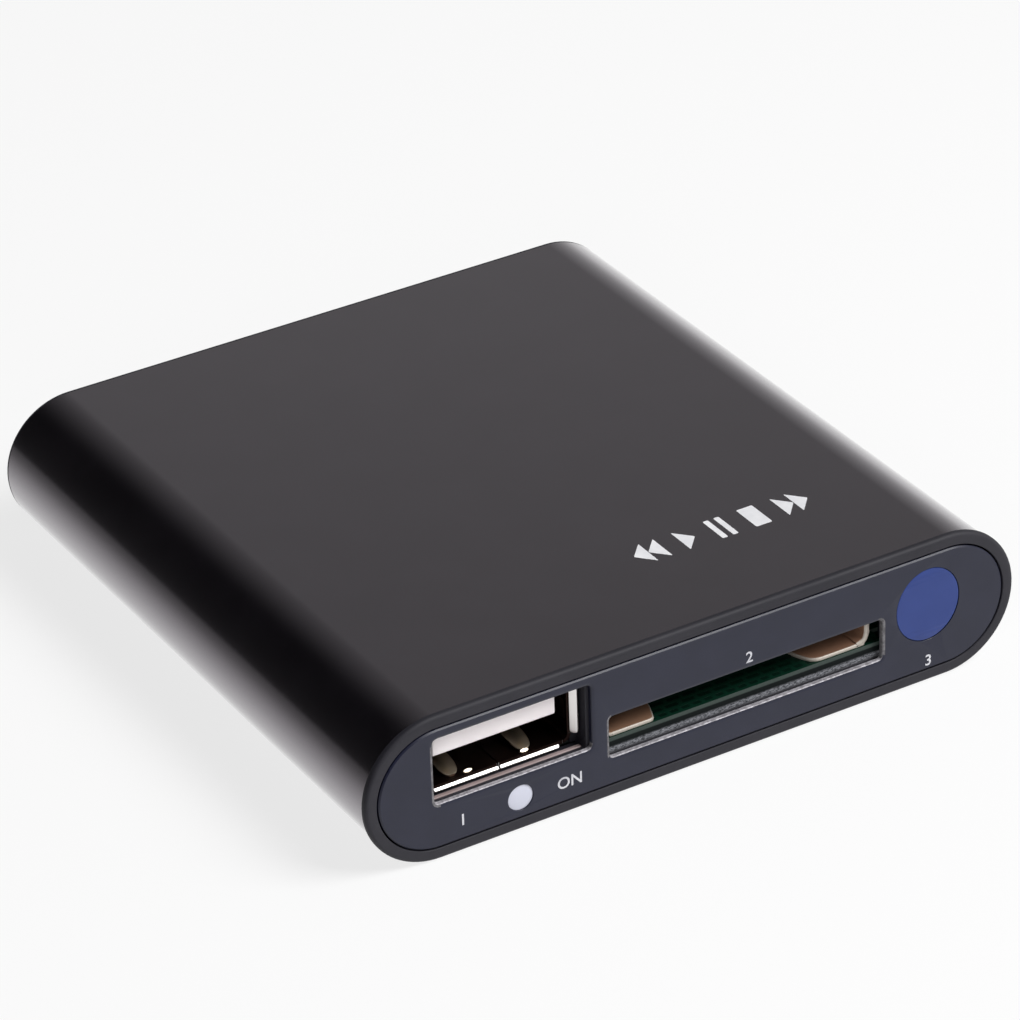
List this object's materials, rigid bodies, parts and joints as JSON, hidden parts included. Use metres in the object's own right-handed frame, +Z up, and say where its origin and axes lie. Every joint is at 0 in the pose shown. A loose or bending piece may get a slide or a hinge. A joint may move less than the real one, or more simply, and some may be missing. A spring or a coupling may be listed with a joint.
{
  "type": "pocket media player",
  "caption": "Flat rounded pocket media player: black extruded sleeve, front plate with USB socket, memory card slot, lamp and infrared window, and video and power sockets at the rear.",
  "frame": {"origin": "on the resting plane, under the middle of the player", "axes": "+X to the right seen from the front, +Y from the front plate to the rear plate, +Z up"},
  "size_m": [0.06, 0.061, 0.0129],
  "materials": {
    "anodised_sleeve": "black anodised, fine satin",
    "bezel_moulding": "black moulded, fine texture",
    "plate_black": "satin black plate",
    "screw_black": "blackened steel",
    "blue_filter": "blue infrared filter",
    "clear_lens": "milky clear acrylic",
    "board_green": "glass-fibre board with dark green solder mask",
    "package_black": "moulded epoxy package",
    "heat_sink_metal": "black anodised fins",
    "tinned_lead": "tinned",
    "nickel_shell": "nickel plated sheet",
    "spring_steel": "bright spring steel",
    "white_nylon": "white glass-filled nylon",
    "ivory_slider": "ivory acetal",
    "gold_contact": "gold plated",
    "socket_black": "black glass-filled moulding",
    "film_amber": "amber film",
    "can_silver": "bright can",
    "ceramic_chip": "fired ceramic"
  },
  "bodies": {
    "player": {"housing_sleeve": "anodised_sleeve", "front_bezel": "bezel_moulding", "front_plate": "plate_black", "rear_bezel": "bezel_moulding", "rear_plate": "plate_black", "rear_screws": "screw_black", "ir_window": "blue_filter", "lamp_light_pipe": "clear_lens", "main_board": "board_green", "insulating_sheet": "film_amber", "video_processor": "package_black", "heat_sink": "heat_sink_metal", "memory_chips": "package_black", "flash_chip": "package_black", "flash_leads": "tinned_lead", "clock_crystal": "can_silver", "power_inductors": "package_black", "capacitor_cans": "can_silver", "capacitor_bases": "socket_black", "voltage_regulators": "package_black", "regulator_leads": "tinned_lead", "small_passives": "ceramic_chip", "power_led": "clear_lens", "ir_receiver_body": "package_black", "ir_receiver_leads": "tinned_lead", "usb_shell": "nickel_shell", "usb_insulator": "white_nylon", "usb_contacts": "gold_contact", "card_socket_shell": "nickel_shell", "card_socket_frame": "socket_black", "card_contacts": "gold_contact", "slider_spring": "spring_steel", "pin_leaf": "spring_steel", "hdmi_shell": "nickel_shell", "hdmi_insulator": "socket_black", "hdmi_contacts": "gold_contact", "av_jack_body": "socket_black", "av_jack_contacts": "spring_steel", "power_jack_body": "socket_black", "power_jack_pin": "tinned_lead", "power_jack_contact": "spring_steel"},
    "ejector": {"card_slider": "ivory_slider"},
    "cam_follower": {"cam_pin": "spring_steel"}
  },
  "joints": [
    {"name": "ejector_slide", "type": "slide", "parent": "player", "child": "ejector", "axis": [0, 1, 0], "range_m": [0, 0.0049], "stiffness_N_per_m": 265, "springref_m": -0.002, "deforming": ["slider_spring"]},
    {"name": "cam_pin_swing", "type": "hinge", "parent": "player", "child": "cam_follower", "pos_m": [0.01775, -0.0197, 0.0076], "axis": [0, 0, -1], "range_deg": [0, 9.5]}
  ]
}
